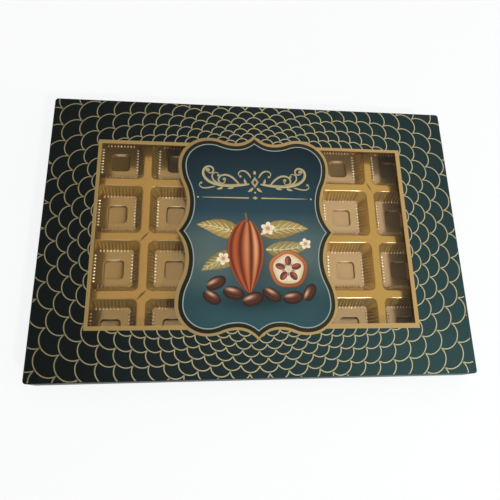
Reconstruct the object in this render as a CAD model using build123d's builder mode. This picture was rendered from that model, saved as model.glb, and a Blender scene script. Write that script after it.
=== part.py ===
# Set-up gift box for chocolates: a base, a lift-off lid with two film windows either side of a
# shaped centre panel, and a loose vacuum-formed tray with a grid of ribbed cavities.
# X runs along the box, Y from front to back, Z up. The origin is the middle of the underside.
import os
from math import hypot, pi, sqrt, tan

from build123d import *

os.makedirs("parts", exist_ok=True)

# Sheet stock
board_thickness = 1.3
paper_thickness = 0.2
tape_thickness = 0.1
film_thickness = 0.2
tray_sheet = 0.4
bottom_sheet_thickness = 0.2

# Tray
column_count = 6
row_count = 4
cell_pitch = 37.2
tray_margin_x = 11.4
tray_margin_y = 9.6
tray_corner = 5.0

# Cavity
mouth_width = 32.2
cavity_depth = 8.1
cavity_corner = 3.2
floor_width = 23.6
rib_count = 9
rib_height = 0.7
rib_start_drop = 1.2
rib_span_share = 1.1

# Square recess in the cavity floor
recess_depth = 2.0
recess_width = 13.0
recess_corner = 2.6

# How the pieces sit in each other
tray_slack_x = 3.6
tray_slack_y = 2.1
tray_clearance = 0.3
lid_fit = 0.5
viewing_depth = 8.5
lid_reveal = 4.5

# Corners and folds
outer_corner = 2.0
fold_radius = 0.6
corner_slit = 0.1

# Paper and tape
wall_turn_in = 12.0
window_turn_in = 8.0
tape_width = 12.0
tape_end_gap = 1.0

# Windows and the centre panel between them
window_length = 194.1
window_width = 117.3
film_margin = 7.0
print_shift_x = -1.9
print_shift_y = -0.45
panel_half_width = 49.65
panel_rise = 9.35
valley_shares = (0.252, 0.908)
hump_shares = (0.596, 0.959)
widest_shares = (0.987, 0.669)
waist_shares = (0.870, 0.272)

# One overrun for every cut
overrun = 1.0

# Flats that stand for an arc in a square corner: one at 45 degrees, as deep as the arc, and one
# more between it and each wall. Both lengths are shares of the arc's radius.
middle_flat_share = 2 - sqrt(2)
side_flat_share = tan(pi / 8) - tan(pi / 16)

# Levels
floor_top = bottom_sheet_thickness + board_thickness
tray_top = floor_top + tray_sheet + recess_depth + cavity_depth
box_height = tray_top + viewing_depth
lid_board_top = box_height - paper_thickness
lid_underside = lid_board_top - board_thickness
cavity_floor = tray_top - cavity_depth
recess_floor = cavity_floor - recess_depth

# Footprints, worked outwards from the tray
wall_stack = paper_thickness + board_thickness + paper_thickness
tray_length = column_count * cell_pitch + 2 * tray_margin_x
tray_width = row_count * cell_pitch + 2 * tray_margin_y
base_length = tray_length + 2 * tray_slack_x + 2 * wall_stack
base_width = tray_width + 2 * tray_slack_y + 2 * wall_stack
box_length = base_length + 2 * lid_fit + 2 * wall_stack
box_width = base_width + 2 * lid_fit + 2 * wall_stack
base_board_length = base_length - 2 * paper_thickness
base_board_width = base_width - 2 * paper_thickness
lid_board_length = box_length - 2 * paper_thickness
lid_board_width = box_width - 2 * paper_thickness
panel_half_height = window_width / 2 + panel_rise
panel_bare_width = 2 * waist_shares[0] * panel_half_width - 2 * window_turn_in
board_corner = outer_corner - paper_thickness
board_edge_flat = (fold_radius - paper_thickness) * middle_flat_share
tray_centre = (tray_slack_x - tray_clearance, tray_clearance - tray_slack_y)

corners = {
    "front_left": (-1, -1),
    "front_right": (1, -1),
    "back_left": (-1, 1),
    "back_right": (1, 1),
}


def save(builder, name):
    builder.part.label = name
    export_step(builder.part, f"parts/{name}.step")


# The centre panel's quarter outline is seven arcs between cusps on the axes, with level or
# upright tangents at the valley, hump, side and waist
def panel_point(shares):
    return Vector(shares[0] * panel_half_width, shares[1] * panel_half_height)


valley = panel_point(valley_shares)
hump = panel_point(hump_shares)
widest = panel_point(widest_shares)
waist = panel_point(waist_shares)

with BuildSketch() as panel:
    with BuildLine():
        TangentArc(valley, (0, panel_half_height), tangent=(-1, 0))
        TangentArc(valley, (valley + hump) / 2, tangent=(1, 0))
        TangentArc(hump, (valley + hump) / 2, tangent=(-1, 0))
        TangentArc(hump, widest, tangent=(1, 0))
        TangentArc(widest, (widest + waist) / 2, tangent=(0, -1))
        TangentArc(waist, (widest + waist) / 2, tangent=(0, 1))
        TangentArc(waist, (panel_half_width, 0), tangent=(0, -1))
        mirror(about=Plane.YZ)
        mirror(about=Plane.XZ)
    make_face()


# The two windows are one rectangle less the panel, with every edge moved outwards by grow
def window_pair(grow):
    with Locations((print_shift_x, print_shift_y)):
        Rectangle(window_length + 2 * grow, window_width + 2 * grow)
        if grow > 0:
            add(offset(panel.sketch, amount=-grow, mode=Mode.PRIVATE), mode=Mode.SUBTRACT)
        else:
            add(panel.sketch, mode=Mode.SUBTRACT)


# A board shell's butt joints: the end walls stop a slit short of the long walls
def corner_slits(length, width, bottom, top):
    inner_length = length - 2 * board_thickness
    inner_width = width - 2 * board_thickness
    slit_length = board_thickness + overrun
    with Locations((0, 0, bottom)):
        with GridLocations(inner_length + slit_length, inner_width - corner_slit, 2, 2):
            Box(
                slit_length,
                corner_slit,
                top - bottom,
                align=(Align.CENTER, Align.CENTER, Align.MIN),
                mode=Mode.SUBTRACT,
            )


# Base board: floor and four walls, open upwards
base_wall_top = lid_underside - paper_thickness
with BuildPart() as base_board:
    with BuildSketch(Plane.XY.offset(bottom_sheet_thickness)):
        RectangleRounded(base_board_length, base_board_width, board_corner)
    extrude(amount=base_wall_top - bottom_sheet_thickness)
    with BuildSketch(Plane.XY.offset(floor_top)):
        Rectangle(base_board_length - 2 * board_thickness, base_board_width - 2 * board_thickness)
    extrude(amount=base_wall_top - floor_top + overrun, mode=Mode.SUBTRACT)
    corner_slits(base_board_length, base_board_width, floor_top, base_wall_top + overrun)
save(base_board, "base_board")

# Lid board: top panel with both windows, and four walls hanging from it
lid_wall_bottom = lid_reveal + paper_thickness
with BuildPart() as lid_board:
    with BuildSketch(Plane.XY.offset(lid_wall_bottom)):
        RectangleRounded(lid_board_length, lid_board_width, board_corner)
    extrude(amount=lid_board_top - lid_wall_bottom)
    chamfer(lid_board.faces().sort_by(Axis.Z)[-1].edges(), length=board_edge_flat)
    with BuildSketch(Plane.XY.offset(lid_wall_bottom - overrun)):
        Rectangle(lid_board_length - 2 * board_thickness, lid_board_width - 2 * board_thickness)
    extrude(amount=lid_underside - lid_wall_bottom + overrun, mode=Mode.SUBTRACT)
    with BuildSketch(Plane.XY.offset(lid_underside - overrun)):
        window_pair(paper_thickness)
    extrude(amount=board_thickness + 2 * overrun, mode=Mode.SUBTRACT)
    corner_slits(lid_board_length, lid_board_width, lid_wall_bottom - overrun, lid_underside)
save(lid_board, "lid_board")


# Corner tape: a thin paper strip folded round one upright edge of a board
def corner_tape(length, width, signs, bottom, top):
    with BuildPart() as tape:
        with BuildSketch(Plane.XY.offset(bottom)):
            RectangleRounded(
                length + 2 * tape_thickness, width + 2 * tape_thickness, board_corner + tape_thickness
            )
            RectangleRounded(length, width, board_corner, mode=Mode.SUBTRACT)
            with Locations((signs[0] * length / 2, signs[1] * width / 2)):
                Rectangle(2 * tape_width, 2 * tape_width, mode=Mode.INTERSECT)
        extrude(amount=top - bottom)
    return tape


base_tapes = {}
lid_tapes = {}
for place, signs in corners.items():
    base_tapes[place] = corner_tape(
        base_board_length,
        base_board_width,
        signs,
        bottom_sheet_thickness + tape_end_gap,
        base_wall_top - tape_end_gap,
    )
    save(base_tapes[place], f"base_corner_tape_{place}")
    lid_tapes[place] = corner_tape(
        lid_board_length,
        lid_board_width,
        signs,
        lid_wall_bottom + tape_end_gap,
        lid_board_top - tape_end_gap,
    )
    save(lid_tapes[place], f"lid_corner_tape_{place}")

# Base wrap: outside of the walls, over the rim and down inside
with BuildPart() as base_wrap:
    with BuildSketch(Plane.XY.offset(bottom_sheet_thickness)):
        RectangleRounded(base_length, base_width, outer_corner)
        RectangleRounded(base_board_length, base_board_width, board_corner, mode=Mode.SUBTRACT)
    extrude(amount=lid_underside - bottom_sheet_thickness)
    with BuildSketch(Plane.XY.offset(base_wall_top)):
        RectangleRounded(base_length, base_width, outer_corner)
        Rectangle(base_length - 2 * wall_stack, base_width - 2 * wall_stack, mode=Mode.SUBTRACT)
    extrude(amount=paper_thickness)
    with BuildSketch(Plane.XY.offset(lid_underside - wall_turn_in)):
        Rectangle(base_board_length - 2 * board_thickness, base_board_width - 2 * board_thickness)
        Rectangle(base_length - 2 * wall_stack, base_width - 2 * wall_stack, mode=Mode.SUBTRACT)
    extrude(amount=wall_turn_in)
    for tape in base_tapes.values():
        add(tape.part, mode=Mode.SUBTRACT)
save(base_wrap, "base_wrap")

# Base bottom sheet: flat paper over the whole underside
with BuildPart() as base_bottom_sheet:
    with BuildSketch():
        RectangleRounded(base_length, base_width, outer_corner)
    extrude(amount=bottom_sheet_thickness)
save(base_bottom_sheet, "base_bottom_sheet")

# Lid wrap: top and outer walls, round the lower edge, up inside the walls, and down
# through both windows to a turned-in band on the underside of the board
with BuildPart() as lid_wrap:
    with BuildSketch(Plane.XY.offset(lid_reveal)):
        RectangleRounded(box_length, box_width, outer_corner)
    extrude(amount=box_height - lid_reveal)
    chamfer(lid_wrap.faces().sort_by(Axis.Z)[-1].edges(), length=fold_radius * middle_flat_share)
    with BuildPart(mode=Mode.PRIVATE) as board_space:
        with BuildSketch(Plane.XY.offset(lid_wall_bottom)):
            RectangleRounded(lid_board_length, lid_board_width, board_corner)
        extrude(amount=lid_board_top - lid_wall_bottom)
        chamfer(board_space.faces().sort_by(Axis.Z)[-1].edges(), length=board_edge_flat)
    add(board_space.part, mode=Mode.SUBTRACT)
    with BuildSketch(Plane.XY.offset(lid_reveal)):
        Rectangle(box_length - 2 * wall_stack, box_width - 2 * wall_stack)
    extrude(amount=paper_thickness, mode=Mode.SUBTRACT)
    with BuildSketch(Plane.XY.offset(lid_reveal)):
        Rectangle(lid_board_length - 2 * board_thickness, lid_board_width - 2 * board_thickness)
        Rectangle(box_length - 2 * wall_stack, box_width - 2 * wall_stack, mode=Mode.SUBTRACT)
    extrude(amount=wall_turn_in)
    with BuildSketch(Plane.XY.offset(lid_underside - paper_thickness)):
        window_pair(paper_thickness)
    extrude(amount=box_height - lid_underside + paper_thickness)
    with BuildSketch(Plane.XY.offset(lid_underside - paper_thickness)):
        with Locations((print_shift_x, print_shift_y)):
            Rectangle(window_length + 2 * window_turn_in, window_width + 2 * window_turn_in)
            Rectangle(panel_bare_width, window_width + 2 * window_turn_in, mode=Mode.SUBTRACT)
    extrude(amount=paper_thickness)
    with BuildSketch(Plane.XY.offset(lid_underside - paper_thickness - overrun)):
        window_pair(0)
    extrude(amount=box_height - lid_underside + paper_thickness + 2 * overrun, mode=Mode.SUBTRACT)
    for tape in lid_tapes.values():
        add(tape.part, mode=Mode.SUBTRACT)
save(lid_wrap, "lid_wrap")

# Window film: one sheet behind both windows, glued to the turned-in paper
with BuildPart() as window_film:
    with BuildSketch(Plane.XY.offset(lid_underside - paper_thickness - film_thickness)):
        with Locations((print_shift_x, print_shift_y)):
            Rectangle(window_length + 2 * film_margin, window_width + 2 * film_margin)
    extrude(amount=film_thickness)
save(window_film, "window_film")

# A square block that narrows downwards from its level top
def tapered_block(top, depth, top_width, bottom_width):
    inset = (top_width - bottom_width) / 2
    with Locations((0, 0, top)):
        Wedge(
            top_width,
            depth,
            top_width,
            inset,
            inset,
            top_width - inset,
            top_width - inset,
            rotation=(-90, 0, 0),
            align=(Align.CENTER, Align.MIN, Align.CENTER),
        )


# One rib: a ridge on the wall that faces +Y, level with the wall at its top and standing
# rib_height out of it at the floor. Its section is slid up along the line of the ridge.
rib_rise = cavity_depth - rib_start_drop
rib_run = rib_rise * (mouth_width - floor_width) / 2 / cavity_depth + rib_height
rib_pitch = (floor_width - 2 * cavity_corner) * rib_span_share / rib_count
with BuildPart() as rib:
    with BuildSketch(Plane.XY.offset(cavity_floor)):
        with BuildLine(Location((0, rib_height - floor_width / 2))):
            Polyline((0, 0), (rib_pitch, -2 * rib_height), (-rib_pitch, -2 * rib_height), close=True)
        make_face()
    extrude(amount=hypot(rib_rise, rib_run), dir=(0, -rib_run, rib_rise))

# The space inside one cavity: leaning ribbed walls and the square recess in the floor. The
# tray has so many corners that flats round them: three in a cavity's corner and one below.
with BuildPart() as cavity_space:
    tapered_block(tray_top, cavity_depth, mouth_width, floor_width)
    chamfer(cavity_space.edges().group_by(Axis.Z)[1], length=cavity_corner * middle_flat_share)
    chamfer(cavity_space.edges().group_by(Axis.Z)[1], length=cavity_corner * side_flat_share)
    with PolarLocations(0, 4):
        with GridLocations(rib_pitch, rib_pitch, rib_count, 1):
            add(rib.part, mode=Mode.SUBTRACT)
    with BuildSketch(Plane.XY.offset(recess_floor)) as recess:
        Rectangle(recess_width, recess_width)
        chamfer(recess.vertices(), length=recess_corner * middle_flat_share)
    extrude(amount=recess_depth)

# The same cavity's outside, one sheet thickness out, with the ribs filled and one flat a corner
with BuildPart() as cavity_body:
    tapered_block(
        tray_top - tray_sheet, cavity_depth, mouth_width + 2 * tray_sheet, floor_width + 2 * tray_sheet
    )
    chamfer(
        cavity_body.edges().group_by(Axis.Z)[1], length=(cavity_corner + tray_sheet) * middle_flat_share
    )
    with BuildSketch(Plane.XY.offset(floor_top)) as foot:
        Rectangle(recess_width + 2 * tray_sheet, recess_width + 2 * tray_sheet)
        chamfer(foot.vertices(), length=(recess_corner + tray_sheet) * middle_flat_share)
    extrude(amount=recess_depth)

# Tray: flange, skirt down to the base's floor, and the grid of cavities standing on that floor
with BuildPart() as tray:
    with BuildSketch(Plane.XY.offset(floor_top)):
        with Locations(tray_centre):
            RectangleRounded(tray_length, tray_width, tray_corner)
    extrude(amount=tray_top - floor_top)
    with BuildSketch(Plane.XY.offset(floor_top)):
        with Locations(tray_centre):
            RectangleRounded(
                tray_length - 2 * tray_sheet, tray_width - 2 * tray_sheet, tray_corner - tray_sheet
            )
    extrude(amount=tray_top - tray_sheet - floor_top, mode=Mode.SUBTRACT)
    with Locations(tray_centre):
        with GridLocations(cell_pitch, cell_pitch, column_count, row_count):
            add(cavity_body.part)
            add(cavity_space.part, mode=Mode.SUBTRACT)
save(tray, "tray")
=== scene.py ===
from contextlib import contextmanager
from math import asin, atan2, copysign, cos, degrees, exp, pi, radians, sin, sqrt

import bmesh
import bpy
from mathutils import Matrix, Vector
from mathutils.geometry import tessellate_polygon


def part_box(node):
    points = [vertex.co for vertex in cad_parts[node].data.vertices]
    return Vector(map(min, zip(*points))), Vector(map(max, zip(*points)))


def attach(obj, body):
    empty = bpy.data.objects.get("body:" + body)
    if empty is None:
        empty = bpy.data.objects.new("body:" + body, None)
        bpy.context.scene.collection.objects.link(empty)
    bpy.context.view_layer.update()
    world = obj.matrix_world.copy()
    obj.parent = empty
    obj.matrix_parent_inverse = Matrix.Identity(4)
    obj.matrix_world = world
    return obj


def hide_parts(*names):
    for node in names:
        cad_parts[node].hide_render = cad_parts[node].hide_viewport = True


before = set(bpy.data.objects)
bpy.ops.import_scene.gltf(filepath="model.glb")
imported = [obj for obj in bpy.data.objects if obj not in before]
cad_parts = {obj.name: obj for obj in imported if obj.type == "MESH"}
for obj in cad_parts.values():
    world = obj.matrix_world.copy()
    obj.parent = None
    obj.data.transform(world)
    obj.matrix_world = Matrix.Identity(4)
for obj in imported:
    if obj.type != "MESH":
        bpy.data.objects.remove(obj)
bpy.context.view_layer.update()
mm = 0.001
weld = {"cover": 0.002, "art": 0.0005, "cavity": 0.001, "tray": 0.01}  # nearer points become one, in mm
coverLow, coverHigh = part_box("lid_wrap")
trayLow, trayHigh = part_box("tray")
print("frame loaded, cover", tuple(round(v / mm, 1) for v in coverHigh - coverLow))


# small helpers

def ink(red, green, blue):  # a written colour as the shader's own light values
    shares = [c / 255 for c in (red, green, blue)]
    return tuple(s / 12.92 if s <= 0.04045 else ((s + 0.055) / 1.055) ** 2.4 for s in shares) + (1.0,)


def mixInk(first, second, share):
    share = min(1.0, max(0.0, share))
    return tuple(a + (b - a) * share for a, b in zip(first, second))


def toward(angle):  # one step in a direction
    return Vector((cos(angle), sin(angle)))


def addPiece(name, vertices, faces, materials, faceMaterials=None):
    mesh = bpy.data.meshes.new(name)
    mesh.from_pydata(vertices, [], faces)
    for material in materials:
        mesh.materials.append(material)
    if faceMaterials:
        mesh.polygons.foreach_set("material_index", faceMaterials)
    piece = bpy.data.objects.new(name, mesh)
    bpy.context.scene.collection.objects.link(piece)
    return piece


def bridge(faces, first, second, count):  # first and second are the loops' starting indices
    for i in range(count):
        j = (i + 1) % count
        faces.append((first + i, first + j, second + j, second + i))


@contextmanager
def reshape(mesh, source=None):  # opens a mesh for editing and writes it back at the end
    bm = bmesh.new()
    bm.from_mesh(source or mesh)
    yield bm
    bm.to_mesh(mesh)
    bm.free()


def joinPoints(bm, surface):
    bmesh.ops.remove_doubles(bm, verts=bm.verts, dist=weld[surface] * mm)


def faceUp(bm):
    for face in bm.faces:
        if face.normal.z < 0:
            face.normal_flip()


def openUpwards(bm):  # one side of a sheet, the one that shows from above
    bmesh.ops.recalc_face_normals(bm, faces=bm.faces)
    if sum(face.normal.z * face.calc_area() for face in bm.faces) < 0:
        bmesh.ops.reverse_faces(bm, faces=bm.faces)


def softenShading(bm, angle):  # smooth faces with creases where the surface turns sharply
    for face in bm.faces:
        face.smooth = True
    for edge in bm.edges:
        edge.smooth = len(edge.link_faces) < 2 or edge.calc_face_angle(0) < radians(angle)


# nodes, for shapes and for finishes

def addNode(tree, kind, inputs=None, **settings):
    node = tree.nodes.new(kind)
    for key, value in settings.items():
        setattr(node, key, value)
    for key, value in (inputs or {}).items():
        if isinstance(value, Wire):
            tree.links.new(value.socket, node.inputs[key])
        else:
            node.inputs[key].default_value = value
    return node


def wire(tree, kind, inputs=None, output=0, **settings):  # what comes out of a new node
    return Wire(addNode(tree, kind, inputs, **settings).outputs[output])


def step(operation, swapped=False):  # one step of arithmetic, as a math node
    def calculate(self, other=0.0):
        pair = (other, self) if swapped else (self, other)
        return wire(self.tree, "ShaderNodeMath", dict(enumerate(pair)), operation=operation)

    return calculate


class Wire:  # a node's output, which plain arithmetic works on
    def __init__(self, socket):
        self.socket, self.tree = socket, socket.id_data

    __add__, __sub__, __rsub__ = step("ADD"), step("SUBTRACT"), step("SUBTRACT", True)
    __mul__, __truediv__, __rtruediv__ = step("MULTIPLY"), step("DIVIDE"), step("DIVIDE", True)
    __pow__, __rpow__, __mod__, __abs__ = step("POWER"), step("POWER", True), step("MODULO"), step("ABSOLUTE")
    sine, cosine, floor, orMore = step("SINE"), step("COSINE"), step("FLOOR"), step("MAXIMUM")


def vector(tree, x=0.0, y=0.0, z=0.0):
    return wire(tree, "ShaderNodeCombineXYZ", {0: x, 1: y, 2: z})


def grow(tree, kind, inputs=None, **settings):  # a Geometry Node's result
    return wire(tree, "GeometryNode" + kind, inputs, **settings)


socketKinds = {int: "Int", float: "Float", Vector: "Vector", bpy.types.Material: "Material"}


def newShape(name, values):  # an empty Geometry Nodes tree with a named input for each value
    tree = bpy.data.node_groups.new(name, "GeometryNodeTree")
    tree.interface.new_socket("Geometry", in_out="INPUT", socket_type="NodeSocketGeometry")
    for label, value in values.items():
        kind = socketKinds[type(value)]
        tree.interface.new_socket(label, in_out="INPUT", socket_type="NodeSocket" + kind)
    tree.interface.new_socket("Geometry", in_out="OUTPUT", socket_type="NodeSocketGeometry")
    return tree, {socket.name: Wire(socket) for socket in tree.nodes.new("NodeGroupInput").outputs}


def closeShape(tree, geometry, material):  # every tree ends in plain geometry with its material
    whole = grow(tree, "RealizeInstances", {"Geometry": geometry})
    done = grow(tree, "SetMaterial", {"Geometry": whole, "Material": material})
    addNode(tree, "NodeGroupOutput", {"Geometry": done})


def growPiece(name, tree, values, mesh=None):
    piece = bpy.data.objects.new(name, mesh or bpy.data.meshes.new(name))
    bpy.context.scene.collection.objects.link(piece)
    modifier = piece.modifiers.new(tree.name, "NODES")
    modifier.node_group = tree
    for item in tree.interface.items_tree:
        if item.in_out == "INPUT" and item.name in values:
            modifier[item.identifier] = values[item.name]
    bpy.context.view_layer.update()
    evaluated = piece.evaluated_get(bpy.context.evaluated_depsgraph_get())
    plain = bpy.data.meshes.new_from_object(evaluated)
    piece.modifiers.remove(modifier)
    piece.data = plain
    plain.name = name
    return piece


# finishes

def surfacePoint(tree):
    return wire(tree, "ShaderNodeTexCoord", output="Object")


def placeOf(tree, axis):  # one coordinate of the surface, in millimetres
    return wire(tree, "ShaderNodeSeparateXYZ", {0: surfacePoint(tree)}, axis) * (1 / mm)


def noiseOn(tree, scale, detail):
    return wire(tree, "ShaderNodeTexNoise", {"Vector": surfacePoint(tree), "Scale": scale, "Detail": detail})


def stretch(value, low, high, start=0.0, end=1.0):  # low..high becomes start..end
    inputs = {"Value": value, "From Min": low, "From Max": high, "To Min": start, "To Max": end}
    return wire(value.tree, "ShaderNodeMapRange", inputs)


def rampOf(value, stops):  # colours are written ones, or light values where they have four numbers
    ramp = addNode(value.tree, "ShaderNodeValToRGB", {0: value})
    points = ramp.color_ramp.elements
    while len(points) < len(stops):
        points.new(0.5)
    for point, (place, colour) in zip(points, stops):
        point.position = place
        point.color = ink(*colour) if len(colour) == 3 else colour
    return Wire(ramp.outputs[0])


def blend(share, first, second):
    return wire(share.tree, "ShaderNodeMix", {"Factor": share, 6: first, 7: second}, 2, data_type="RGBA")


def shaded(colour, shade):  # one colour multiplied by another
    settings = {"data_type": "RGBA", "blend_type": "MULTIPLY"}
    return wire(colour.tree, "ShaderNodeMix", {"Factor": 1.0, 6: colour, 7: shade}, 2, **settings)


def newMaterial(name, colour, colourFrom=None, grain=None, **values):
    material = bpy.data.materials.new(name)
    material.use_nodes = True
    tree = material.node_tree
    shader = tree.nodes["Principled BSDF"]
    shader.inputs["Base Color"].default_value = material.diffuse_color = ink(*colour)
    for label, value in values.items():
        shader.inputs[label.replace("_", " ")].default_value = value
    if colourFrom:  # a function that adds the nodes for a colour that varies
        tree.links.new(colourFrom(tree).socket, shader.inputs["Base Color"])
    if grain:  # size and depth of a fine relief
        height = {"Height": noiseOn(tree, 1 / grain[0], 3.0), "Strength": 0.5, "Distance": grain[1]}
        tree.links.new(wire(tree, "ShaderNodeBump", height).socket, shader.inputs["Normal"])
    return material


def showInstead(share, first, second):  # a mix of two shaders in place of the plain one
    mixed = wire(share.tree, "ShaderNodeMixShader", {0: share, 1: first, 2: second})
    share.tree.links.new(mixed.socket, share.tree.nodes["Material Output"].inputs["Surface"])


paperGrain = (0.6 * mm, 0.01 * mm)
coverPaintedSheen = {
    "across": (-100, 75),  # painted sheen: darkest on the left, palest at the front right corner
    "towardsBack": (-75, 75),
    "dimming": 0.45,
    "tones": (
        (0.0, (13, 20, 19)), (0.25, (24, 34, 34)), (0.5, (30, 45, 45)), (0.75, (37, 57, 57)), (1.0, (44, 69, 69))
    ),
}


# painted sheen: the teal darkens towards the left and the back, standing in for light from the front right
def coverPaintedSheenTone(tree):
    look = coverPaintedSheen
    across = stretch(placeOf(tree, 0), *look["across"])
    dimmed = stretch(placeOf(tree, 1), *look["towardsBack"]) * look["dimming"]
    return rampOf(across * (1.0 - dimmed), look["tones"])


goldLook = {
    "inks": {  # left, middle and right tone, a painted light ramp darkest on the left, and roughness
        "edgeGold": ((155, 129, 78), (165, 136, 84), (187, 153, 98), 0.34),
        "panelGold": ((130, 101, 56), (160, 135, 89), (189, 158, 99), 0.36),
        "scaleGold": ((148, 138, 104), (180, 170, 130), (184, 177, 139), 0.4),
    },
    "slant": -0.2,
    "across": (-130, 130),
    "places": (0.1, 0.45, 1.0),
}


def goldInkWithPaintedLight(name):
    *tones, roughness = goldLook["inks"][name]

    # painted light: each gold is darker towards the left and the back, lighter towards the front right
    def tone(tree):
        across = placeOf(tree, 0) + placeOf(tree, 1) * goldLook["slant"]
        return rampOf(stretch(across, *goldLook["across"]), list(zip(goldLook["places"], tones)))

    return newMaterial(name, tones[1], tone, Metallic=0.75, Roughness=roughness)


def fibrous(name, middle, dark, light, scale, detail, roughness):  # board and paper tape
    def tone(tree):
        return rampOf(noiseOn(tree, scale, detail), [(0.3, dark), (0.7, light)])

    return newMaterial(name, middle, tone, Roughness=roughness)


filmLook = {"through": 0.99, "blur": 0.22, "mirror": 0.006, "edgeMirror": 0.3, "edgeRise": 5.0}


def clearFilm():  # almost nothing but a faint mirror, stronger at a low angle
    material = newMaterial("clearFilm", (235, 240, 245), Roughness=0.06)
    tree = material.node_tree
    through = wire(tree, "ShaderNodeBsdfTransparent", {0: (*[filmLook["through"]] * 3, 1.0)})
    mirror = wire(tree, "ShaderNodeBsdfGlossy", {"Color": (1, 1, 1, 1), "Roughness": filmLook["blur"]})
    tilt = wire(tree, "ShaderNodeLayerWeight", {"Blend": 0.5}, "Facing")
    showInstead(tilt ** filmLook["edgeRise"] * filmLook["edgeMirror"] + filmLook["mirror"], through, mirror)
    return material


trayLook = {
    "depths": (0.0, 0.3, 1.3, 5.8, 8.0, 8.3, 10.5),  # flange, lip, upper wall, lower wall, floor and recess
    # left and right: the same tray darker in the left window and lighter in the right, as painted shade
    "left": (
        (166, 123, 45), (166, 123, 45), (192, 158, 76), (178, 146, 76),
        (156, 121, 56), (156, 121, 56), (148, 114, 52),
    ),
    "right": (
        (181, 140, 56), (181, 140, 56), (212, 178, 100), (196, 164, 102),
        (187, 154, 105), (187, 154, 105), (183, 149, 99),
    ),
    "across": (-75, 75),
    # painted rib shading: darker between the ribs and lighter on their crests
    "paintedGrooveShade": (0.62, 0.6, 0.54, 1.0),
    "paintedCrestLight": (1.36, 1.38, 1.3, 1.0),
    # the pale colour of the painted glints on the beads, the recesses' far edges and the far lips
    "toes": (255, 240, 206),
    "paintedGlintVariationScale": 31.0,  # the painted highlights differ from cavity to cavity
    "paintedGlintVariation": (0.35, 0.65, 0.6, 1.3),
    "relief": (9 * mm, 0.08 * mm),
}


def trayFinishWithPaintedLight(tree):  # gold on the flange, drawn thin and brown down the cavities; painted shade makes it darker in the left window, with painted rib shading and painted glints
    look, deepest = trayLook, trayLook["depths"][-1]
    depth = stretch(trayHigh.z / mm - placeOf(tree, 2), 0, deepest)
    shares = [d / deepest for d in look["depths"]]
    left, right = (rampOf(depth, list(zip(shares, look[side]))) for side in ("left", "right"))
    # painted shade: blends from the darker left tones to the lighter right ones across the tray
    colour = blend(stretch(placeOf(tree, 0), *look["across"]), left, right)
    # the cells' marks: painted rib shading, painted glint strength and the ribbed walls' mask
    rib, toe, wall = (
        wire(tree, "ShaderNodeAttribute", output="Fac", attribute_name=label) for label in ("rib", "toe", "wall")
    )
    paintedGlintVariation = stretch(noiseOn(tree, look["paintedGlintVariationScale"], 0.0), *look["paintedGlintVariation"])
    # painted rib shading, mixed from groove shade to crest light by each point's rib mark
    paintedRibs = blend(rib, shaded(colour, look["paintedGrooveShade"]), shaded(colour, look["paintedCrestLight"]))
    # painted glints: where marked, the colour turns to the pale glint colour, more in some cavities than others
    return blend(toe * paintedGlintVariation, blend(wall, colour, paintedRibs), ink(*look["toes"]))


coat = {"Coat_Weight": 0.25, "Coat_Roughness": 0.08}
coverTeal = newMaterial("coverPaper", (24, 54, 62), coverPaintedSheenTone, paperGrain, Roughness=0.42, Specular_IOR_Level=0.08)
edgeGold, panelGold, scaleGold = (goldInkWithPaintedLight(name) for name in goldLook["inks"])
tealPaper = newMaterial("plainTeal", (16, 46, 52), grain=paperGrain, Roughness=0.45, Specular_IOR_Level=0.15)
board = fibrous("greyboard", (150, 145, 136), (128, 122, 112), (166, 161, 151), 900.0, 4.0, 0.9)
tape = fibrous("kraftTape", (186, 150, 104), (170, 134, 90), (200, 166, 120), 500.0, 3.0, 0.7)
film = clearFilm()
goldTray = newMaterial(
    "goldTray", trayLook["right"][0], trayFinishWithPaintedLight, trayLook["relief"], Metallic=0.55, Roughness=0.22, **coat
)
print("finishes made")


# pieces that stay as the frame has them

def dressNode(node, material):
    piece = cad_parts[node]
    piece.data.materials.clear()
    piece.data.materials.append(material)


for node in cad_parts:
    if "tape" in node:
        dressNode(node, tape)
for node, material in {
    "base_board": board,
    "lid_board": board,
    "base_wrap": tealPaper,
    "base_bottom_sheet": tealPaper,
    "window_film": film,
}.items():
    dressNode(node, material)


# the print has one centre for the windows, the frame and the panel

printed = {
    "centre": (-1.9, -0.45),
    "windowHalf": (97.05, 58.65),
    "frameHalf": (99.75, 61.1),
    "frameCorners": ((99.75, 60.65), (-99.15, 61.15), (-99.15, -61.1), (99.6, -61.7)),
    "paperTop": 20.36,  # the paper's face, just under the layers of ink
    "scaleTop": 20.385,
    "frameTop": 20.41,
    "cardTop": 20.43,
    "artTop": 20.45,
    "artStep": 0.006,
    "faceSlack": 0.02,  # how far below the top the paper's face is looked for
    "cutSlack": 0.3,  # how far outside the windows their cut edges are looked for
    "cutEdge": (18.8, 20.3),
    "cutFoot": 18.7,
    "creaseAngle": 30,
}

panel = {
    "half": (49.65, 68.0),
    "valley": (0.252, 0.908),
    "hump": (0.596, 0.959),
    "widest": (0.987, 0.669),
    "waist": (0.870, 0.272),
    "arcSteps": 14,
    "goldEnds": 1.85,
    "lineStarts": 4.3,
    "lineEnds": 4.9,
    "slip": (0.3, -0.25),  # the print sits a little to the right of the cut
    "cuspPush": (0.65, 10.0),  # its cusps reach further out: by how much, and from how far to each side
    "shadows": (  # centre, half sizes and depth of the printed shading under the picture
        ((-2.0, -45.0), (37.0, 7.5), 0.55),
        ((20.0, -30.0), (15.0, 13.0), 0.5),
        ((-5.0, -20.0), (17.0, 27.0), 0.5),
    ),
}


def onPrint(x, y, height):
    return Vector(((printed["centre"][0] + x) * mm, (printed["centre"][1] + y) * mm, height * mm))


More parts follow.
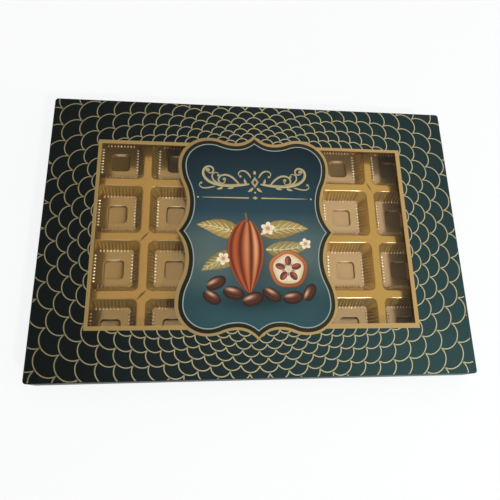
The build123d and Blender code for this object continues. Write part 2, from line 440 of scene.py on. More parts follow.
def panelOutline(inset):  # the shaped outline, moved inwards, anticlockwise from its right cusp
    half = Vector(panel["half"])
    valley, hump, widest, waist = (Vector(panel[n]) * half for n in ("valley", "hump", "widest", "waist"))
    top, side = Vector((0, half.y)), Vector((half.x, 0))
    upper, lower = (valley + hump) / 2, (widest + waist) / 2
    right, up = Vector((1, 0)), Vector((0, 1))
    arcs = [  # where each starts, its heading there, where it ends, and whether it runs backwards
        (valley, -right, top, True),
        (valley, right, upper, False),
        (hump, -right, upper, True),
        (hump, right, widest, False),
        (widest, -up, lower, False),
        (waist, up, lower, True),
        (waist, -up, side, False),
    ]
    quarter = []
    for start, heading, end, backwards in arcs:
        normal, chord = Vector((-heading.y, heading.x)), end - start
        reach = chord.length_squared / (2 * normal.dot(chord))
        centre = start + normal * reach
        inside = centre.length < start.length
        radius = abs(reach) + (-inset if inside else inset)
        spoke = end - centre
        for axis in (0, 1):  # an arc that ends on an axis ends there at every inset
            if end[axis] == 0:
                spoke[axis], spoke[1 - axis] = -centre[axis], -sqrt(radius**2 - centre[axis] ** 2)
        first = atan2(start.y - centre.y, start.x - centre.x)
        last = atan2(spoke.y, spoke.x)
        sweep = (last - first + pi) % (2 * pi) - pi
        turns = [first + sweep * i / panel["arcSteps"] for i in range(panel["arcSteps"] + 1)]
        points = [centre + toward(a) * radius for a in turns]
        if backwards:
            points.reverse()
        quarter += points if not quarter else points[1:]
    quarter.reverse()  # right cusp to top cusp
    mirrored = [Vector((-p.x, p.y)) for p in reversed(quarter[:-1])]
    upperHalf = quarter + mirrored
    lowerHalf = [Vector((p.x, -p.y)) for p in reversed(upperHalf[1:-1])]
    return upperHalf + lowerHalf


def cutEdgeTone(tree):  # gold foil gone brown in the shade
    height = stretch(placeOf(tree, 2), *printed["cutEdge"])
    return rampOf(height, [(0.0, (84, 62, 38)), (0.8, (122, 92, 52)), (1.0, (156, 124, 70))])


def makeCoverWrap():  # the frame's lid paper, its face lowered by the thickness of the ink layers
    cutEdge = newMaterial("cutEdge", (112, 84, 48), cutEdgeTone, Roughness=0.6, Metallic=0.2)
    piece = addPiece("coverWrap", [], [], [coverTeal, cutEdge])
    reach = [h + printed["cutSlack"] for h in printed["windowHalf"]]
    with reshape(piece.data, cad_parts["lid_wrap"].data) as bm:
        joinPoints(bm, "cover")
        for vertex in bm.verts:
            if vertex.co.z > coverHigh.z - printed["faceSlack"] * mm:
                vertex.co.z = printed["paperTop"] * mm
        for face in bm.faces:
            centre = face.calc_center_median() / mm
            inWindow = all(abs(centre[i] - printed["centre"][i]) < reach[i] for i in (0, 1))
            isCut = inWindow and abs(face.normal.z) < 0.5 and centre.z > printed["cutFoot"]
            face.material_index = 1 if isCut else 0
        softenShading(bm, printed["creaseAngle"])
    return piece


coverWrap = makeCoverWrap()
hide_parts("lid_wrap")
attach(coverWrap, "lid")
print("cover paper made")


# fish-scale lines: rings of scallops that grow outwards by one ratio

scales = {
    "centre": (-1.5, -0.35),
    "firstRadius": 69.6 / 1.0554**4,
    "growth": 1.0554,
    "rings": 21,
    "perRing": 48,
    "lineWidth": 0.62,
    "steps": 16,
    "fold": 0.4,  # the lines stop where the cover's edge rounds off
    "printEnd": ((128.6, -90.0), (130.4, 20.0)),  # the print ends a little short of the right edge
}


def scaleShape(values):
    tree, given = newShape("fishScales", values)
    # one scallop, half a pitch to either side of the X axis
    pitch = 2 * pi / given["Scales Per Ring"]
    fine = grow(tree, "ResampleCurve", {"Curve": grow(tree, "CurvePrimitiveLine"), "Count": given["Steps"]})
    turn = grow(tree, "SplineParameter") * pi
    angle = turn.cosine() * (pitch * -0.5)
    radius = given["Growth"] ** turn.sine()
    place = vector(tree, radius * angle.cosine(), radius * angle.sine())
    scallop = grow(tree, "SetPosition", {"Geometry": fine, "Position": place})
    # rings of them, every other ring turned by half a pitch
    spots = grow(tree, "Points", {"Count": given["Rings"] * given["Scales Per Ring"]})
    index = grow(tree, "InputIndex")
    ring = ((index + 0.5) / given["Scales Per Ring"]).floor()
    turned = vector(tree, z=(index + ring % 2.0 * 0.5) * pitch)
    rotation = wire(tree, "FunctionNodeEulerToRotation", {0: turned})
    size = given["Growth"] ** ring * given["First Radius"]
    copies = {"Points": spots, "Instance": scallop, "Rotation": rotation, "Scale": vector(tree, size, size, 1.0)}
    loose = grow(tree, "RealizeInstances", {"Geometry": grow(tree, "InstanceOnPoints", copies)})
    moved = grow(tree, "SetPosition", {"Geometry": loose, "Offset": given["Centre"]})
    upright = grow(tree, "SetCurveNormal", {"Curve": moved}, mode="Z_UP")
    # the pen: a flat line across the curve
    near, far = (vector(tree, given["Line Width"] * side) for side in (-0.5, 0.5))
    pen = grow(tree, "CurvePrimitiveLine", {"Start": near, "End": far})
    closeShape(tree, grow(tree, "CurveToMesh", {"Curve": upright, "Profile Curve": pen}), given["Ink"])
    return tree


def makeScales():
    values = {
        "Rings": scales["rings"],
        "Scales Per Ring": scales["perRing"],
        "First Radius": scales["firstRadius"] * mm,
        "Growth": scales["growth"],
        "Line Width": scales["lineWidth"] * mm,
        "Steps": scales["steps"],
        "Centre": Vector((*scales["centre"], printed["scaleTop"])) * mm,
        "Ink": scaleGold,
    }
    piece = growPiece("goldScales", scaleShape(values), values)
    cuts = []  # where the print ends: at the folds, and along a slanting line on the right
    for axis in (0, 1):
        for corner, sign in ((coverLow, -1), (coverHigh, 1)):
            outwards = Vector([sign * (i == axis) for i in range(3)])
            cuts.append((corner - outwards * scales["fold"] * mm, outwards))
    low, high = (Vector(end) for end in scales["printEnd"])
    cuts.append((Vector((*low, 0)) * mm, Vector((high.y - low.y, low.x - high.x, 0))))
    middle = [(w + f) / 2 for w, f in zip(printed["windowHalf"], printed["frameHalf"])]

    def underFrame(face):
        spot = face.calc_center_median() / mm
        return all(abs(spot[i] - printed["centre"][i]) < middle[i] for i in (0, 1))

    with reshape(piece.data) as bm:
        bmesh.ops.delete(bm, geom=[face for face in bm.faces if underFrame(face)], context="FACES")
        for place, outwards in cuts:
            everything = bm.verts[:] + bm.edges[:] + bm.faces[:]
            bmesh.ops.bisect_plane(bm, geom=everything, plane_co=place, plane_no=outwards, clear_outer=True)
        faceUp(bm)
    return piece


goldScales = makeScales()
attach(goldScales, "lid")
print("fish scales drawn,", len(goldScales.data.polygons), "faces")


# gold frame round the windows, and the shaped panel between them

def makeFrame():
    halfX, halfY = printed["windowHalf"]
    inner = [(halfX, halfY), (-halfX, halfY), (-halfX, -halfY), (halfX, -halfY)]
    points = [onPrint(x, y, printed["frameTop"]) for x, y in (*inner, *printed["frameCorners"])]
    faces = [(i, i + 4, (i + 1) % 4 + 4, (i + 1) % 4) for i in range(4)]
    return addPiece("goldFrame", points, faces, [edgeGold])


cardLook = {
    "fieldHeights": (-66, 66),
    "tones": (  # from the front to the back
        (0.0, (44, 78, 84)), (0.18, (54, 86, 91)), (0.36, (92, 109, 106)),
        (0.47, (83, 103, 103)), (0.6, (43, 70, 80)), (1.0, (7, 22, 32)),
    ),
    "sideReach": 48.0,
    "sideShade": ((0.0, (1, 1, 1, 1)), (0.6, (0.95, 0.95, 0.93, 1)), (1.0, (0.66, 0.7, 0.7, 1))),
    "spotFall": 1.6,  # how fast a soft shadow fades outwards
    "bandAcross": (-50, 50),
    "bandTones": ((0.0, (26, 28, 14)), (1.0, (46, 44, 28))),
}


def softSpot(tree, centre, half, depth):  # 1 outside an oval, darker towards its middle
    x, y = ((placeOf(tree, axis) - centre[axis]) / half[axis] for axis in (0, 1))
    return 1.0 - exp(1) ** ((x * x + y * y) * -cardLook["spotFall"]) * depth


def fieldTone(tree):  # printed gradient: dark at the back, lighter in the middle and in front
    field = rampOf(stretch(placeOf(tree, 1), *cardLook["fieldHeights"]), cardLook["tones"])
    side = rampOf(abs(placeOf(tree, 0) / cardLook["sideReach"]), cardLook["sideShade"])
    spots = [softSpot(tree, *spot) for spot in panel["shadows"]]
    dim = spots[0] * spots[1] * spots[2]
    return shaded(shaded(field, side), vector(tree, dim, dim, dim))


# painted light: the dark band is lighter towards the right, like the gold inks
def bandToneWithPaintedLight(tree):
    return rampOf(stretch(placeOf(tree, 0), *cardLook["bandAcross"]), cardLook["bandTones"])


def slipped(point):  # where the print really lies
    push, width = panel["cuspPush"]
    sharp = [push * max(0.0, 1 - abs(point[1 - axis]) / width) ** 2 for axis in (0, 1)]
    moved = Vector(copysign(abs(v) + extra, v) for v, extra in zip(point, sharp))
    return moved + Vector(panel["slip"])


def makeCard():
    inks = [
        panelGold,
        newMaterial("darkBand", (36, 36, 20), bandToneWithPaintedLight, Roughness=0.42, Specular_IOR_Level=0.12),
        newMaterial("paleLine", (150, 162, 154), Roughness=0.4, Metallic=0.2),
        newMaterial("cardField", (34, 66, 80), fieldTone, Roughness=0.4, Specular_IOR_Level=0.12),
    ]
    loops = [panelOutline(inset) for inset in (0, panel["goldEnds"], panel["lineStarts"], panel["lineEnds"])]
    loops[1:] = [[slipped(p) for p in loop] for loop in loops[1:]]
    points = [onPrint(p.x, p.y, printed["cardTop"]) for loop in loops for p in loop]
    faces, indices, count = [], [], len(loops[0])
    for ring in range(len(loops) - 1):
        bridge(faces, ring * count, (ring + 1) * count, count)
        indices += [ring] * count
    faces.append(tuple(range((len(loops) - 1) * count, len(loops) * count)))
    indices.append(len(loops) - 1)
    return addPiece("panelCard", points, faces, inks, indices)


goldFrame = makeFrame()
panelCard = makeCard()
for piece in (goldFrame, panelCard):
    with reshape(piece.data) as bm:
        faceUp(bm)
    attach(piece, "lid")
print("frame and panel made")


# gold flourish over the panel's rule: mirrored scrolls of evenly growing bend, leaves and a lozenge

flourish = {
    "inks": ((196, 182, 138), (160, 142, 98), (24, 58, 68)),  # pale, deep and the lozenge's dark middle
    "steps": 56,
    "scrolls": (  # start, heading, length, bend at start and end per mm, how late it bends, width, ball
        ((3.6, 32.4), -11, 50.5, 0.012, 0.66, 3.4, 2.0, 1.4),
        ((9.6, 31.2), 56, 27.0, -0.02, -0.62, 1.8, 1.35, 1.1),
        ((2.6, 36.8), 72, 14.0, -0.08, -0.62, 1.6, 1.1, 0.85),
        ((19.0, 30.2), 24, 18.5, 0.0, 0.72, 2.0, 1.1, 0.85),
        ((25.5, 30.3), -14, 12.8, 0.0, 0.95, 3.0, 0.95, 0.8),
    ),
    "leaves": (
        ((13.4, 30.6), -36, 4.8, 0.9, 0.1),
        ((20.6, 29.9), -34, 4.4, 0.85, 0.1),
        ((5.4, 32.2), 58, 4.4, 0.8, 0.1),
        ((1.3, 29.8), -56, 4.8, 0.9, 0.1),
    ),
    "lozenge": ((0, 33.6), 2.5, 4.2),
    "drop": ((0, 40.4), 0.95),
    "rule": ((4.0, 22.6), 30.0, 0.42),
    "ruleLozenge": ((0, 22.6), 1.9, 1.2),
    "beads": ((-36.2, 22.6, 0.55), (36.2, 22.6, 0.55), (0, 26.4, 0.6)),
}


def walk(start, heading, length, bendStart, bendEnd, steps, late=1.0):
    # a path whose bend grows along it: its spots, each with the direction to its left
    spot, angle, stride = Vector(start), radians(heading), length / steps
    path = []
    for i in range(steps + 1):
        path.append((spot.copy(), Vector((-sin(angle), cos(angle)))))
        angle += (bendStart + (bendEnd - bendStart) * ((i + 0.5) / steps) ** late) * stride
        spot += toward(angle) * stride
    return path


class Picture:  # flat shaded patches on the panel, gathered into one mesh
    def __init__(self):
        self.points, self.faces, self.tints = [], [], []

    def patch(self, rows, layer, closed=False):  # rows of spots with their colours
        start, wide = len(self.points), len(rows[0])
        for row in rows:
            for spot, tint in row:
                self.points.append(onPrint(spot[0], spot[1], printed["artTop"] + printed["artStep"] * layer))
                self.tints += tint
        for i in range(len(rows) - 1):
            for j in range(wide if closed else wide - 1):
                near, far = start + i * wide, start + (i + 1) * wide
                self.faces.append((near + j, near + (j + 1) % wide, far + (j + 1) % wide, far + j))

    def band(self, path, halfWidth, shade, layer, columns=1):  # a strip along a path
        rows, last = [], len(path) - 1
        for i, (spot, left) in enumerate(path):
            t, row = i / last, []
            for j in range(columns + 1):
                side = 2 * j / columns - 1
                row.append((spot + left * halfWidth(t) * side, shade(t, side)))
            rows.append(row)
        self.patch(rows, layer)

    def disc(self, centre, size, turn, shade, layer, rings=5, spokes=24, inner=0.0, outline=None):
        rows, tilt = [], Matrix.Rotation(radians(turn), 2)
        for i in range(rings + 1):
            r, row = inner + (1 - inner) * i / rings, []
            for j in range(spokes):
                angle = 2 * pi * j / spokes
                reach = r * (outline(angle) if outline else 1)
                spot = Vector((cos(angle) * size[0], sin(angle) * size[1])) * reach
                row.append((Vector(centre) + tilt @ spot, shade(r, angle)))
            rows.append(row)
        self.patch(rows, layer, closed=True)

    def finish(self, name, material):
        piece = addPiece(name, self.points, self.faces, [material])
        marks = piece.data.attributes.new("tint", "FLOAT_COLOR", "POINT")
        marks.data.foreach_set("color", self.tints)
        with reshape(piece.data) as bm:
            joinPoints(bm, "art")
            faceUp(bm)
        return piece


def pictureTone(tree):  # what the mesh carries at each point
    return wire(tree, "ShaderNodeAttribute", output="Color", attribute_name="tint")


def fade(inner, outer, power=1, most=1.0):  # a disc's shade, from its middle to its rim
    return lambda r, angle: mixInk(inner, outer, most * r**power)


def makeFlourish():
    look, art = flourish, Picture()
    pale, deep, dark = (ink(*c) for c in look["inks"])

    def gilt(t, side=0.0):
        return mixInk(pale, deep, 0.5 + 0.5 * side)

    for mirror in (1, -1):

        def reflect(path):
            return [(Vector((p.x * mirror, p.y)), Vector((q.x * mirror, q.y))) for p, q in path]

        for layer, (start, heading, length, first, last, late, width, ball) in enumerate(look["scrolls"]):
            path = reflect(walk(start, heading, length, first, last, look["steps"], late))
            art.band(path, lambda t: width * (0.16 + 0.34 * sin(pi * t**0.6) ** 0.8), gilt, layer, 2)
            art.disc(path[-1][0], (ball, ball), 0, fade(pale, deep, 1, 0.7), layer, 3, 16)
        for start, heading, length, half, bend in look["leaves"]:
            path = reflect(walk(start, heading, length, bend, bend, 12))
            art.band(path, lambda t: half * sin(pi * t**0.7) ** 0.9, gilt, 5, 2)
        start, length, half = look["rule"]
        rule = reflect(walk(start, 0, length, 0, 0, 12))
        art.band(rule, lambda t: half * (1 - t) ** 0.5 + 0.06, gilt, 0, 2)
    diamond = {"rings": 2, "spokes": 4}
    for centre, wide, high in (look["lozenge"], look["ruleLozenge"]):
        art.disc(centre, (wide, high), 0, fade(pale, deep), 6, **diamond)
    (centre, size), (middle, wide, high) = look["drop"], look["lozenge"]
    art.disc(centre, (size, size * 1.5), 0, fade(pale, deep), 6, 3, 16)
    art.disc(middle, (wide * 0.45, high * 0.45), 0, fade(dark, dark), 7, **diamond)
    for x, y, size in look["beads"]:
        art.disc((x, y), (size, size), 0, fade(pale, pale), 1, 2, 12)
    return art


# cocoa picture below it: a ridged pod, a cut slice, leaves, blossoms and beans

picture = {
    "pod": {
        "top": (-5.5, 7.0),
        "heading": -97,
        "length": 47.0,
        "half": 12.0,
        "bend": 0.006,
        "ridges": 5,
        "steps": 40,
        "across": 60,
    },
    "stem": ((-5.6, 6.0), 78, 6.5, 0.09, 1.15),
    "slice": {"centre": (19.5, -24.5), "radius": 12.0, "rim": 0.8, "seeds": 5},
    "leaves": (  # start, heading, length, half width, bend and share of gold against green
        ((-9.0, -3.0), 152, 29.0, 6.6, 0.016, 1.0),
        ((-10.0, -16.0), 187, 26.0, 6.2, 0.02, 0.75),
        ((3.0, -2.0), 22, 31.0, 6.8, -0.016, 0.9),
        ((6.0, -12.0), -4, 29.0, 6.0, 0.014, 0.7),
    ),
    "leafSteps": 30,
    "beans": (  # place, turn, half length and layer
        ((-25.0, -33.5), 28, 6.4, 3),
        ((-14.5, -39.5), -14, 6.6, 4),
        ((-27.5, -42.0), -32, 6.0, 4),
        ((-3.0, -43.5), 20, 6.6, 5),
        ((8.5, -40.5), -30, 6.2, 4),
        ((32.0, -39.5), 62, 5.8, 3),
        ((21.5, -42.5), 8, 6.3, 5),
    ),
    "blossoms": (((7.5, 2.0), 12, 4.6), ((-20.5, -18.0), -24, 4.2), ((31.0, -8.0), 30, 3.8)),
}


def glow(t, place, width):  # a soft spot of light, 1 in its middle
    return exp(-(((t - place) / width) ** 2))


def paintLeaf(art, start, heading, length, half, bend, golden):
    rim = mixInk(ink(40, 78, 60), ink(128, 102, 50), golden)
    body = mixInk(ink(74, 120, 84), ink(190, 162, 96), golden)
    vein = mixInk(ink(150, 180, 130), ink(238, 220, 168), golden)
    steps = picture["leafSteps"]
    path = walk(start, heading, length, bend, bend, steps)

    def halfWidth(t):
        return half * sin(pi * t**0.8) ** 0.85 * (1 - 0.25 * t)

    def shade(t, side):
        fold = 0.5 + 0.5 * cos(2 * pi * (t * 6.5 - abs(side) * 1.2))
        light = 0.35 + 0.35 * fold + (0.25 if side > 0 else 0.0) - 0.35 * abs(side) ** 3
        return mixInk(rim, body, light)

    art.band(path, halfWidth, shade, 0, 10)
    art.band(path[:-1], lambda t: 0.42 * (1 - t) + 0.1, lambda t, side: vein, 1)
    for i in range(4, steps - 4, 4):  # side veins
        t = i / steps
        for side in (1, -1):
            spread = heading + degrees(bend) * length * t + side * 42
            twig = walk(path[i][0], spread, halfWidth(t) * 1.15, -side * 0.05, -side * 0.05, 4)
            art.band(twig, lambda u: 0.2 * (1 - u) + 0.05, lambda u, v: vein, 1)


def paintPod(art, look):
    dark, body, light = ink(70, 26, 16), ink(186, 88, 44), ink(248, 186, 130)
    path = walk(look["top"], look["heading"], look["length"], look["bend"], look["bend"], look["steps"])

    def halfWidth(t):
        return look["half"] * (sin(pi * min(1.0, t * 0.97 + 0.03) ** 0.88) ** 0.72) * (1 - 0.12 * t)

    def shade(t, side):
        around = asin(max(-1.0, min(1.0, side)))
        ridge = 0.5 + 0.5 * cos(around * 2 * look["ridges"])
        shine = glow(side, 0.38, 0.34) * glow(t, 0.34, 0.42)
        colour = mixInk(dark, body, 0.12 + 0.88 * ridge**0.8 * (0.3 + 0.7 * cos(around) ** 0.7))
        return mixInk(colour, light, 0.95 * shine * ridge**1.5)

    art.band(path, halfWidth, shade, 2, look["across"])


def paintBean(art, place, turn, half, layer):
    dark, body, light, line = ink(30, 16, 12), ink(96, 52, 34), ink(226, 176, 138), ink(28, 16, 12)

    def shade(r, angle):
        x, y = r * cos(angle), r * sin(angle)
        shine = glow(x, -0.25, 0.45) * glow(y, 0.42, 0.22)
        return mixInk(mixInk(body, dark, r**2), light, 0.9 * shine)

    def outline(angle):
        return 1 + 0.05 * cos(angle)

    art.disc(place, (half, half * 0.62), turn, shade, layer, 8, 32, outline=outline)
    tilt = Matrix.Rotation(radians(turn), 2)
    for lift, sag in ((-0.1, 0.035), (-0.32, 0.05)):
        start = Vector(place) + tilt @ Vector((-half * 0.8, half * lift))
        crease = walk(start, turn - degrees(sag * half * 0.8), half * 1.6, sag, sag, 10)
        art.band(crease, lambda t: 0.2 * sin(pi * t) + 0.03, lambda t, side: line, layer + 0.5)


def paintSlice(art, look):
    centre, radius = Vector(look["centre"]), look["radius"]
    skin, edge = ink(120, 58, 30), ink(204, 124, 70)
    cream, amber = ink(240, 226, 196), ink(206, 178, 136)

    def lobes(angle):
        return 1 + 0.03 * cos(5 * angle - pi / 2)

    def rindShade(r, angle):
        light = 0.5 + 0.5 * cos(angle - radians(120))
        return mixInk(skin, edge, (0.3 + 0.7 * light) * glow(r, 0.9, 0.09))

    art.disc(centre, (radius, radius), 0, rindShade, 3, 6, 60, look["rim"] - 0.02, lobes)
    art.disc(centre, (radius * look["rim"],) * 2, 0, fade(cream, amber, 4), 4, 8, 60, 0.0, lobes)
    for seed in range(look["seeds"]):
        turn = 90 + 360 * seed / look["seeds"]
        paintSeed(art, centre + toward(radians(turn)) * radius * 0.44, turn, radius * 0.28)
    art.disc(centre, (radius * 0.12,) * 2, 18, fade(amber, cream), 5, 3, 20)


def paintSeed(art, place, turn, half):
    pulp, husk, skin, heart = ink(252, 244, 222), ink(222, 198, 158), ink(112, 56, 40), ink(176, 108, 84)
    art.disc(place, (half * 1.22, half * 0.9), turn, fade(pulp, husk, 3), 5, 4, 24)

    def shade(r, angle):
        return mixInk(skin, heart, glow(r * sin(angle), 0.35, 0.3) * glow(r * cos(angle), 0.0, 0.7))

    art.disc(place, (half * 0.95, half * 0.62), turn, shade, 6, 5, 24)


def paintBlossom(art, place, turn, size):
    cream, blush, pollen, amber = ink(246, 232, 200), ink(190, 110, 70), ink(236, 190, 96), ink(150, 96, 40)

    def shade(t, side):
        return mixInk(cream, blush, 0.75 * glow(t, 0.0, 0.35) + 0.35 * glow(side, 0.0, 0.2) * (1 - t))

    for petal in range(5):
        path = walk(place, turn + petal * 72, size, 0, 0, 12)
        art.band(path, lambda t: size * 0.34 * sin(pi * t**1.3) ** 0.7, shade, 5 + petal * 0.2, 6)
    art.disc(place, (size * 0.2,) * 2, 0, fade(pollen, amber), 7, 3, 16)


def makePicture():
    art = Picture()
    for leaf in picture["leaves"]:
        paintLeaf(art, *leaf)
    paintPod(art, picture["pod"])
    start, heading, length, bend, half = picture["stem"]
    stem, dark, light = walk(start, heading, length, bend, bend, 8), ink(70, 46, 26), ink(150, 112, 66)
    art.band(stem, lambda t: half * (1 - 0.4 * t), lambda t, side: mixInk(dark, light, 0.5 + side / 2), 3, 4)
    paintSlice(art, picture["slice"])
    for bean in picture["beans"]:
        paintBean(art, *bean)
    for blossom in picture["blossoms"]:
        paintBlossom(art, *blossom)
    return art


paint = newMaterial("picturePaint", (150, 90, 50), pictureTone, Roughness=0.4, Specular_IOR_Level=0.2)
panelFlourish = makeFlourish().finish("panelFlourish", paint)
panelPicture = makePicture().finish("panelPicture", paint)
for piece in (panelFlourish, panelPicture):
    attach(piece, "lid")
print("panel art painted,", len(panelPicture.data.polygons), "faces")


# tray: one ribbed cavity, repeated over the grid, with a flange and a skirt

cavity = {
    "columns": 6,
    "rows": 4,
    "pitch": 37.2,
    "centre": (3.3, -1.8),
    "mouthHalf": 16.1,
    "floorHalf": 12.3,
    "lean": (-0.6, 0.3),  # how far the floor sits off the mouth's centre
    "recessLean": (-0.3, -0.6),  # and how far its recess does
    "depth": 8.1,
    "mouthCorner": 3.4,
    "floorCorner": 2.4,
    "cornerSteps": 4,
    "crest": 0.9,  # from this height of the wave on, a rib's crest gets a painted glint
    "lipProfile": (  # depth, how far out and painted glint, down to where the ribs start
        (0.0, 0.45, 0.0), (0.07, 0.17, 0.32), (0.25, 0.02, 0.32), (0.7, 0.0, 0.0)
    ),
    "ribs": 9,
    "ribPitch": 2.1,
    "ribHeight": 0.9,
    "ribSamples": 4,
    "ribProfile": (  # depth, share of the height and painted glint of the ribs' crests
        (1.8, 0.3, 0.0), (3.8, 0.46, 0.0), (5.8, 0.64, 0.0),
        (7.2, 0.85, 0.0), (7.8, 0.95, 0.3), (8.1, 0.98, 0.3),
    ),
    "ribFoot": (0.98, -0.25),  # share of the height and how far out, where the ribs meet the floor
    "toe": (0.8, 0.56, 0.6),  # the bead at each rib's foot: outwards, along the wall and upwards
    "paintedToeGlint": (1.0, 0.85, 1.0, 0.3),  # painted glint on the right, far, left and near side
    "toeSwell": (1.12, 1.08, 1.2, 0.9),
    "paintedRibLight": (0.35, 0.9, 0.8, 1.3),  # how strong the painted rib shading is on each side
    "recessHalf": 5.9,
    "recessCorner": 2.2,
    "recessSamples": 3,
    "recessProfile": (  # how far out, depth and painted highlight of its far edge
        (0.65, 0.0, 0.0), (0.45, 0.0, 0.5), (0.15, 0.1, 1.0), (0.0, 0.35, 1.0),
        (-0.08, 0.9, 1.0), (-0.2, 1.65, 0.7), (-0.3, 1.9, 0.0), (-0.55, 2.0, 0.0),
    ),
    "sheet": 0.3,
}
rim = {"corner": 5.0, "shoulder": 0.8, "shoulderSteps": 3, "cornerSteps": 8, "creaseAngle": 38}
creases = {
    "crossings": ((1, 2, 50), (1, 1, 48), (5, 3, -65)),  # column line, row line and heading
    "length": 9.0,
    "width": 1.6,
    "height": 1.0,
}


trayCentre = Vector((*cavity["centre"], trayHigh.z / mm)) * mm


def ribWave(i, samples):  # 0 between the ribs and 1 on their crests
    return (1 - cos(2 * pi * i * cavity["ribs"] / samples)) / 2


def roundSquare(half, corner, drop, ridge, straight, samples):
    # a square loop whose sides are sampled where the ribs are; ridge lifts every rib inwards
    loop = []
    for quarter in range(4):
        turn = toward(quarter * pi / 2)
        across = Vector((-turn.y, turn.x))
        for i in range(samples + 1):
            along = -straight + 2 * straight * i / samples
            wave = ribWave(i, samples) if ridge else 0
            loop.append((*(turn * (half - ridge * wave) + across * along), -drop))
        centre = (turn + across) * (half - corner)
        for i in range(cavity["cornerSteps"] + 1):
            angle = pi / 2 * i / cavity["cornerSteps"]
            spot = centre + (turn * cos(angle) + across * sin(angle)) * corner
            loop.append((*spot, -drop))
    return loop


def fillBetween(points, outer, inner):  # a flat ring between two loops of different counts
    loops = [[Vector(points[i]) for i in loop] for loop in (outer, inner)]
    order = list(outer) + list(inner)
    return [tuple(order[i] for i in triangle) for triangle in tessellate_polygon(loops)]


def makeCell():
    wallSamples = cavity["ribs"] * cavity["ribSamples"]
    ribSpan = cavity["ribs"] * cavity["ribPitch"] / 2
    slope = (cavity["mouthHalf"] - cavity["floorHalf"]) / cavity["depth"]
    points, faces, loops = [], [], []
    marks = {"rib": [], "toe": [], "wall": []}  # what the tray's finish reads at each point: painted rib shading, painted glint strength and the ribbed walls' mask

    def addLoop(loop, marksAt=lambda i: (0.0, 0.0, 0.0)):
        loops.append(range(len(points), len(points) + len(loop)))
        points.extend(loop)
        for i in range(len(loop)):
            for label, value in zip(marks, marksAt(i)):
                marks[label].append(value)

    def moved(loop, shift, share=1.0):
        return [(x + shift[0] * share, y + shift[1] * share, z) for x, y, z in loop]

    def bridgeLoops(group):
        for outer, inner in zip(group, group[1:]):
            bridge(faces, outer.start, inner.start, len(outer))

    def wallLoop(drop, ridge=0.0, out=0.0, toe=0.0, lipGlint=0.0, marked=True):
        half = cavity["mouthHalf"] - slope * drop + out
        share = drop / cavity["depth"]
        corner = cavity["mouthCorner"] + (cavity["floorCorner"] - cavity["mouthCorner"]) * share
        loop = roundSquare(half, corner, drop, ridge, ribSpan, wallSamples)
        side = len(loop) // 4

        def marksAt(i):
            if i % side > wallSamples or not ridge or not marked:
                return 0.0, lipGlint if side <= i <= side + wallSamples else 0.0, 0.0
            wave = ribWave(i % side, wallSamples)
            # a crest near the floor gets its side's painted glint
            shine = toe * cavity["paintedToeGlint"][i // side] if wave > cavity["crest"] else 0.0
            # the painted rib shading grows with the rib and differs from side to side
            swell = min(1.0, ridge / cavity["ribHeight"] * 2) * cavity["paintedRibLight"][i // side]
            return wave * swell, shine, 1.0

        addLoop(moved(loop, cavity["lean"], share), marksAt)

    def recessLoop(out, drop, shine):  # its far edge gets a painted highlight
        size, corner, samples = cavity["recessHalf"] + out, cavity["recessCorner"] + out, cavity["recessSamples"]
        loop = roundSquare(size, corner, cavity["depth"] + drop, 0, size - corner, samples)
        side = len(loop) // 4
        far = range(side, side + samples + 1)
        addLoop(moved(loop, cavity["recessLean"]), lambda i: (0.0, shine if i in far else 0.0, 0.0))

    half = cavity["pitch"] / 2
    addLoop([(-half, -half, 0), (half, -half, 0), (half, half, 0), (-half, half, 0)])
    for drop, out, shine in cavity["lipProfile"]:
        wallLoop(drop, out=out, lipGlint=shine)
    for drop, share, toe in cavity["ribProfile"]:  # each rib swells downwards and ends in a rounded toe
        wallLoop(drop, cavity["ribHeight"] * share, toe=toe)
    share, out = cavity["ribFoot"]
    wallLoop(cavity["depth"], cavity["ribHeight"] * share, out, marked=False)
    foot, first = loops[-1], len(loops)
    bridgeLoops(loops[1:])
    faces += fillBetween(points, loops[0], loops[1])
    for row in cavity["recessProfile"]:
        recessLoop(*row)
    bridgeLoops(loops[first:])
    faces += fillBetween(points, foot, loops[first])
    faces.append(tuple(loops[-1]))
    cell = bpy.data.meshes.new("trayCell")
    cell.from_pydata([Vector(p) * mm for p in points], [], faces)
    for label, values in marks.items():
        cell.attributes.new(label, "FLOAT", "POINT").data.foreach_set("value", values)
    with reshape(cell) as bm:
        joinPoints(bm, "cavity")
        openUpwards(bm)
    return cell


def makeToes():  # a bead at the foot of every rib of one cavity, each marked with its side's painted glint
    toes = bpy.data.meshes.new("toes")
    floorCentre = Matrix.Translation(Vector((*cavity["lean"], 0)) * mm)
    reach = cavity["floorHalf"] - cavity["ribHeight"]
    with reshape(toes) as bm:
        shine = bm.verts.layers.float.new("toe")
        for quarter in range(4):
            turn = Matrix.Rotation(quarter * pi / 2, 4, "Z")
            size = Matrix.Diagonal((*(Vector(cavity["toe"]) * cavity["toeSwell"][quarter] * mm), 1))
            for rib in range(cavity["ribs"]):
                along = (rib - (cavity["ribs"] - 1) / 2) * cavity["ribPitch"]
                place = Matrix.Translation(Vector((reach, along, -cavity["depth"])) * mm)
                matrix = floorCentre @ turn @ place @ size
                bead = bmesh.ops.create_icosphere(bm, subdivisions=2, radius=1, matrix=matrix)
                for vertex in bead["verts"]:
                    vertex[shine] = cavity["paintedToeGlint"][quarter]
        for face in bm.faces:
            face.smooth = True
    return toes


def gridShape(values):
    tree, given = newShape("cavityGrid", values)
    wide, deep = ((given[label] - 1.0) * given["Pitch"] for label in ("Columns", "Rows"))
    sizes = {"Size X": wide, "Size Y": deep, "Vertices X": given["Columns"], "Vertices Y": given["Rows"]}
    copies = {"Points": grow(tree, "MeshGrid", sizes), "Instance": given["Geometry"]}
    whole = grow(tree, "RealizeInstances", {"Geometry": grow(tree, "InstanceOnPoints", copies)})
    moved = grow(tree, "SetPosition", {"Geometry": whole, "Offset": given["Centre"]})
    joined = grow(tree, "MergeByDistance", {"Geometry": moved, "Distance": weld["tray"] * mm})
    closeShape(tree, joined, given["Sheet"])
    return tree


